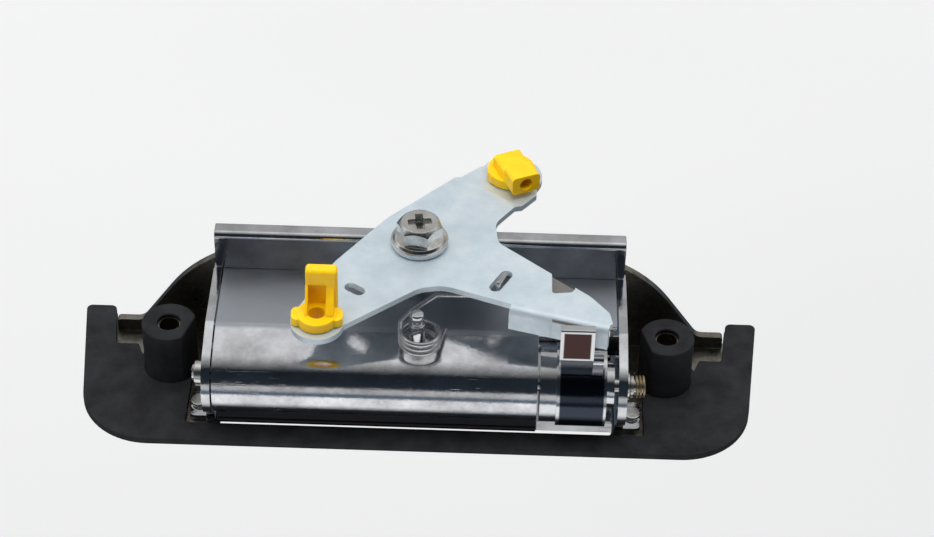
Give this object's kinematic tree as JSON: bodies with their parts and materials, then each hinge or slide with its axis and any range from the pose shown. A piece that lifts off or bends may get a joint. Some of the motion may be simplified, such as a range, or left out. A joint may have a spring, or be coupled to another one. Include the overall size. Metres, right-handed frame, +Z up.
{
  "type": "car door handle",
  "caption": "Tailgate flap handle: chromed bezel with gasket, spring-loaded flap, bell crank and clips for the latch rods.",
  "frame": {"origin": "midpoint of the two mounting bosses, on the rear face of the gasket", "axes": "+X along the handle, +Y into the door (rear of the handle), +Z up on the door"},
  "size_m": [0.1744, 0.0595, 0.0736],
  "materials": {
    "polished_chrome": "bright polished plating",
    "rough_chrome": "plated over a rough casting",
    "zinc_plate": "pale blue zinc plating",
    "black_rubber": "matt moulded",
    "yellow_nylon": "semi-gloss moulded",
    "screw_steel": "bright zinc plating",
    "spring_steel": "drawn wire",
    "brass_wire": "dull wire",
    "bush_bronze": "sintered",
    "steel_insert": "passivated",
    "stop_rubber": "matt"
  },
  "bodies": {
    "housing": {"gasket": "black_rubber", "bezel": "rough_chrome", "left_sleeve": "black_rubber", "right_sleeve": "black_rubber", "left_threaded_insert": "steel_insert", "right_threaded_insert": "steel_insert", "rear_cup": "polished_chrome", "cup_rail": "polished_chrome", "left_end_plate": "polished_chrome", "right_end_plate": "polished_chrome", "left_rivet": "screw_steel", "right_rivet": "screw_steel", "left_stop": "stop_rubber", "right_stop": "stop_rubber", "pivot_pin": "screw_steel", "pin_washer": "screw_steel", "pin_retainer": "screw_steel", "pin_end_spring": "brass_wire", "flap_spring": "spring_steel", "crank_post": "polished_chrome", "crank_bushing": "bush_bronze", "crank_washer": "zinc_plate", "crank_screw": "screw_steel", "spring_stud": "polished_chrome", "crank_spring": "spring_steel"},
    "flap": {"flap": "polished_chrome", "left_hub_bush": "bush_bronze", "right_hub_bush": "bush_bronze"},
    "crank": {"bell_crank": "zinc_plate"},
    "left_clip": {"left_rod_clip": "yellow_nylon"},
    "right_clip": {"right_rod_clip": "yellow_nylon"}
  },
  "joints": [
    {"name": "flap_pivot", "type": "hinge", "parent": "housing", "child": "flap", "pos_m": [0, 0.012, 0.0155], "axis": [-1, 0, 0], "range_deg": [0, 26], "stiffness_Nm_per_rad": 0.12, "springref_deg": -20.05, "deforming": ["flap_spring"]},
    {"name": "crank_pivot", "type": "hinge", "parent": "housing", "child": "crank", "pos_m": [0, 0.0358, -0.0074], "axis": [0, 1, 0], "range_deg": [0, 16], "stiffness_Nm_per_rad": 0.05, "springref_deg": -17.19, "deforming": ["crank_spring"]},
    {"name": "left_clip_swivel", "type": "hinge", "parent": "crank", "child": "left_clip", "pos_m": [-0.0232, 0.0365, 0.0223], "axis": [0, 1, 0], "range_deg": [-75, 75]},
    {"name": "right_clip_swivel", "type": "hinge", "parent": "crank", "child": "right_clip", "pos_m": [0.0223, 0.0348, -0.0369], "axis": [0, 1, 0], "range_deg": [-75, 75]}
  ],
  "couplings": [
    {"joint": "crank_pivot", "follows": "flap_pivot", "ratio": 0.6}
  ]
}
